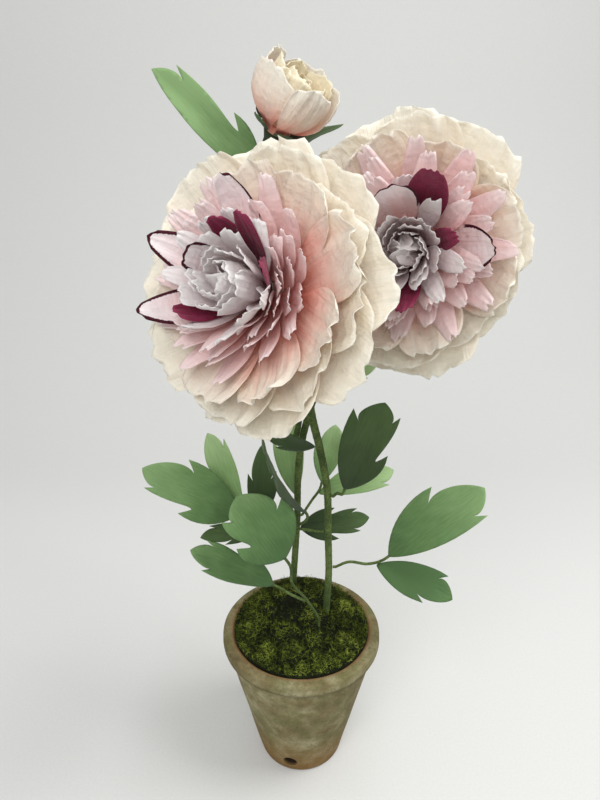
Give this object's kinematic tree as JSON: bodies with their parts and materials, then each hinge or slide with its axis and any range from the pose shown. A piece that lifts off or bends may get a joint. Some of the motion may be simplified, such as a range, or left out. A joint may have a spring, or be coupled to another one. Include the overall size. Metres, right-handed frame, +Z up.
{
  "type": "crepe paper peony",
  "caption": "Crepe paper peony plant: layered cream and pink blooms with burgundy accents, a bud and lobed leaves on wrapped wire stems, set in moss in a tapered terracotta pot.",
  "frame": {"origin": "centre of the pot's underside", "axes": "+Z up; the viewer stands at -Y, so +X is to the viewer's right"},
  "size_m": [0.3666, 0.2915, 0.7701],
  "materials": {
    "terracotta": "aged unglazed terracotta, chalky and stained",
    "florist_foam": "rigid florist foam, hidden under the moss",
    "dried_moss": "dried sheet moss, fibrous",
    "stem_crepe": "wire wrapped in olive crepe paper",
    "leaf_light": "light green crepe paper, matte",
    "leaf_mid": "mid green crepe paper, matte",
    "leaf_dark": "dark green crepe paper, matte",
    "petal_cream": "cream crepe paper with a coral foot, stretched and ruffled",
    "petal_peach": "peach crepe paper, stretched and cupped",
    "petal_pink": "pink crepe paper, cut narrow and pointed",
    "petal_lavender": "lavender white crepe paper, cupped",
    "petal_edged": "white crepe paper with a painted burgundy edge",
    "petal_burgundy": "deep burgundy crepe paper",
    "core": "spun paper core covered with crepe"
  },
  "bodies": {
    "root": {"terracotta_pot": "terracotta", "foam_block": "florist_foam", "moss_mound": "dried_moss", "front_stem": "stem_crepe", "back_stem": "stem_crepe", "bud_stem": "stem_crepe", "wire_big_leaf": "stem_crepe", "wire_low_left": "stem_crepe", "wire_right": "stem_crepe", "wire_left": "stem_crepe", "wire_edge_leaf": "stem_crepe", "wire_rear": "stem_crepe", "wire_upper_dark": "stem_crepe", "leaf_low_left": "leaf_light", "leaf_far_left": "leaf_light", "leaf_rear_mid": "leaf_light", "leaf_left_rear": "leaf_light", "leaf_rear_tall": "leaf_light", "leaf_rear_right": "leaf_light", "leaf_between_blooms": "leaf_light", "leaf_big_front": "leaf_mid", "leaf_edge_on": "leaf_mid", "leaf_right_large": "leaf_mid", "leaf_low_right": "leaf_mid", "leaf_top_left": "leaf_mid", "front_sepals": "leaf_mid", "back_sepals": "leaf_mid", "leaf_upper_dark": "leaf_dark", "leaf_small_dark": "leaf_dark", "leaf_left_sliver": "leaf_dark", "leaf_under_bloom": "leaf_dark", "leaf_rear_dark": "leaf_dark", "leaf_top_right": "leaf_dark", "bud_calyx": "leaf_dark", "front_outer_low": "petal_cream", "front_outer_mid": "petal_cream", "front_outer_high": "petal_peach", "front_pink_wide": "petal_pink", "front_pink_low": "petal_pink", "front_pink_high": "petal_pink", "front_burgundy": "petal_burgundy", "front_edged": "petal_edged", "front_inner_low": "petal_lavender", "front_inner_high": "petal_lavender", "front_core": "core", "back_outer_low": "petal_cream", "back_outer_mid": "petal_cream", "back_outer_high": "petal_peach", "back_pink_wide": "petal_pink", "back_pink_low": "petal_pink", "back_pink_high": "petal_pink", "back_burgundy": "petal_burgundy", "back_edged": "petal_edged", "back_inner_low": "petal_lavender", "back_inner_high": "petal_lavender", "back_core": "core", "bud_outer": "petal_cream", "bud_inner": "petal_peach", "bud_core": "core"}
  },
  "joints": []
}
